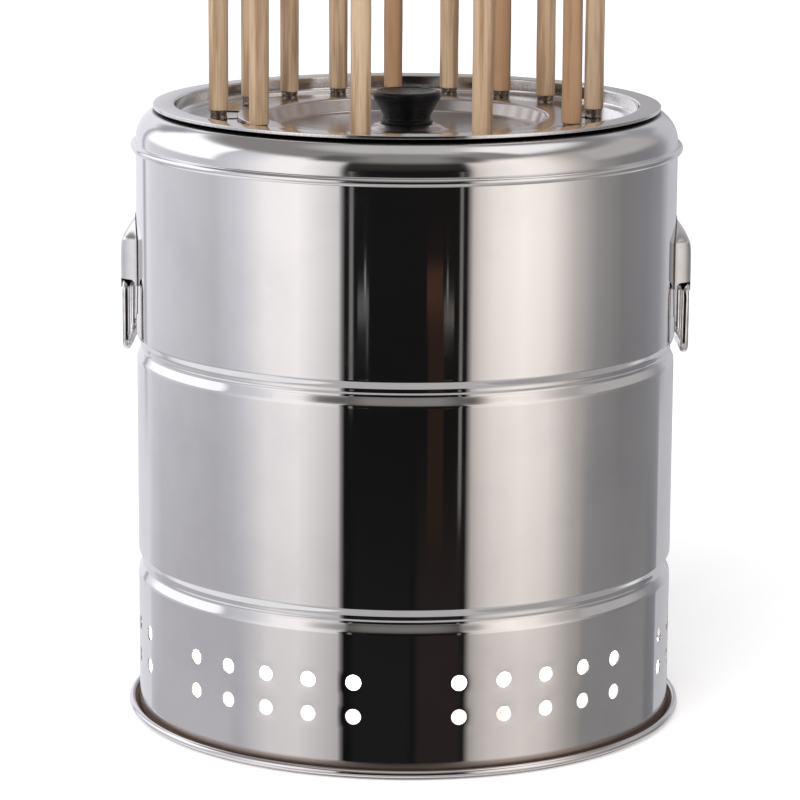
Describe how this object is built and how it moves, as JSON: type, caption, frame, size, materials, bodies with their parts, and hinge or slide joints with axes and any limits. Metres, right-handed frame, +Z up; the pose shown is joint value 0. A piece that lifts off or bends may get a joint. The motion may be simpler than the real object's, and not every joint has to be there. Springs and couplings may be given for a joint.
{
  "type": "charcoal barrel grill",
  "caption": "Upright charcoal barrel grill: vented polished barrel, lift-off skewer tray, dished lid with knob, hanging skewers and drop-ring side handles.",
  "frame": {"origin": "on the ground under the barrel's axis", "axes": "+Z up along the barrel's axis, front faces -Y"},
  "size_m": [0.3162, 0.312, 0.4587],
  "materials": {
    "polished_steel": "mirror polished stainless sheet",
    "pan_steel": "plain rolled stainless sheet",
    "cage_steel": "heat-tinted stainless sheet",
    "knob_black": "polished black moulding",
    "screw_steel": "bright",
    "handle_wood": "bare turned hardwood",
    "ferrule_steel": "worn",
    "rod_steel": "drawn"
  },
  "bodies": {
    "barrel": {"base_pan": "polished_steel", "barrel_wall": "polished_steel", "shoulder_ring": "polished_steel", "seam_band": "polished_steel", "ash_pan": "pan_steel", "drip_pan": "pan_steel", "pan_legs": "pan_steel", "handle_bracket_left": "polished_steel", "handle_bracket_right": "polished_steel"},
    "left_ring": {"drop_ring_left": "polished_steel"},
    "right_ring": {"drop_ring_right": "polished_steel"},
    "tray": {"skewer_tray": "polished_steel", "tray_rim": "polished_steel"},
    "lid": {"lid_pan": "polished_steel", "lid_knob": "knob_black", "knob_screw": "screw_steel", "knob_washer": "screw_steel"},
    "cage": {"cage_wall": "cage_steel", "cage_grate": "cage_steel", "bail_lugs": "cage_steel"},
    "bail": {"cage_bail": "cage_steel"},
    "skewer_1": {"skewer_handle_1": "handle_wood", "skewer_ferrule_1": "ferrule_steel", "skewer_rod_1": "rod_steel"},
    "skewer_2": {"skewer_handle_2": "handle_wood", "skewer_ferrule_2": "ferrule_steel", "skewer_rod_2": "rod_steel"},
    "skewer_3": {"skewer_handle_3": "handle_wood", "skewer_ferrule_3": "ferrule_steel", "skewer_rod_3": "rod_steel"},
    "skewer_4": {"skewer_handle_4": "handle_wood", "skewer_ferrule_4": "ferrule_steel", "skewer_rod_4": "rod_steel"},
    "skewer_5": {"skewer_handle_5": "handle_wood", "skewer_ferrule_5": "ferrule_steel", "skewer_rod_5": "rod_steel"},
    "skewer_6": {"skewer_handle_6": "handle_wood", "skewer_ferrule_6": "ferrule_steel", "skewer_rod_6": "rod_steel"},
    "skewer_7": {"skewer_handle_7": "handle_wood", "skewer_ferrule_7": "ferrule_steel", "skewer_rod_7": "rod_steel"},
    "skewer_8": {"skewer_handle_8": "handle_wood", "skewer_ferrule_8": "ferrule_steel", "skewer_rod_8": "rod_steel"},
    "skewer_9": {"skewer_handle_9": "handle_wood", "skewer_ferrule_9": "ferrule_steel", "skewer_rod_9": "rod_steel"},
    "skewer_10": {"skewer_handle_10": "handle_wood", "skewer_ferrule_10": "ferrule_steel", "skewer_rod_10": "rod_steel"},
    "skewer_11": {"skewer_handle_11": "handle_wood", "skewer_ferrule_11": "ferrule_steel", "skewer_rod_11": "rod_steel"},
    "skewer_12": {"skewer_handle_12": "handle_wood", "skewer_ferrule_12": "ferrule_steel", "skewer_rod_12": "rod_steel"},
    "skewer_13": {"skewer_handle_13": "handle_wood", "skewer_ferrule_13": "ferrule_steel", "skewer_rod_13": "rod_steel"}
  },
  "joints": [
    {"name": "left_ring_swing", "type": "hinge", "parent": "barrel", "child": "left_ring", "pos_m": [-0.15418, 0.00269, 0.2435], "axis": [0.0175, 0.9998, 0], "range_deg": [-2.5, 92]},
    {"name": "right_ring_swing", "type": "hinge", "parent": "barrel", "child": "right_ring", "pos_m": [0.15418, 0.00269, 0.2435], "axis": [0.0175, -0.9998, 0], "range_deg": [-2.5, 92]},
    {"name": "tray_lift", "type": "slide", "parent": "barrel", "child": "tray", "axis": [0, 0, 1], "range_m": [0, 0.3]},
    {"name": "lid_lift", "type": "slide", "parent": "tray", "child": "lid", "axis": [0, 0, 1], "range_m": [0, 0.15]},
    {"name": "cage_lift", "type": "slide", "parent": "barrel", "child": "cage", "axis": [0, 0, 1], "range_m": [0, 0.05]},
    {"name": "bail_swing", "type": "hinge", "parent": "cage", "child": "bail", "pos_m": [0, 0, 0.2622], "axis": [-1, 0, 0], "range_deg": [0, 180]},
    {"name": "skewer_1_lift", "type": "slide", "parent": "tray", "child": "skewer_1", "axis": [0, 0, 1], "range_m": [0, 0.27]},
    {"name": "skewer_2_lift", "type": "slide", "parent": "tray", "child": "skewer_2", "axis": [0, 0, 1], "range_m": [0, 0.27]},
    {"name": "skewer_3_lift", "type": "slide", "parent": "tray", "child": "skewer_3", "axis": [0, 0, 1], "range_m": [0, 0.27]},
    {"name": "skewer_4_lift", "type": "slide", "parent": "tray", "child": "skewer_4", "axis": [0, 0, 1], "range_m": [0, 0.27]},
    {"name": "skewer_5_lift", "type": "slide", "parent": "tray", "child": "skewer_5", "axis": [0, 0, 1], "range_m": [0, 0.27]},
    {"name": "skewer_6_lift", "type": "slide", "parent": "tray", "child": "skewer_6", "axis": [0, 0, 1], "range_m": [0, 0.27]},
    {"name": "skewer_7_lift", "type": "slide", "parent": "tray", "child": "skewer_7", "axis": [0, 0, 1], "range_m": [0, 0.27]},
    {"name": "skewer_8_lift", "type": "slide", "parent": "tray", "child": "skewer_8", "axis": [0, 0, 1], "range_m": [0, 0.27]},
    {"name": "skewer_9_lift", "type": "slide", "parent": "tray", "child": "skewer_9", "axis": [0, 0, 1], "range_m": [0, 0.27]},
    {"name": "skewer_10_lift", "type": "slide", "parent": "tray", "child": "skewer_10", "axis": [0, 0, 1], "range_m": [0, 0.27]},
    {"name": "skewer_11_lift", "type": "slide", "parent": "tray", "child": "skewer_11", "axis": [0, 0, 1], "range_m": [0, 0.27]},
    {"name": "skewer_12_lift", "type": "slide", "parent": "tray", "child": "skewer_12", "axis": [0, 0, 1], "range_m": [0, 0.27]},
    {"name": "skewer_13_lift", "type": "slide", "parent": "tray", "child": "skewer_13", "axis": [0, 0, 1], "range_m": [0, 0.27]}
  ]
}
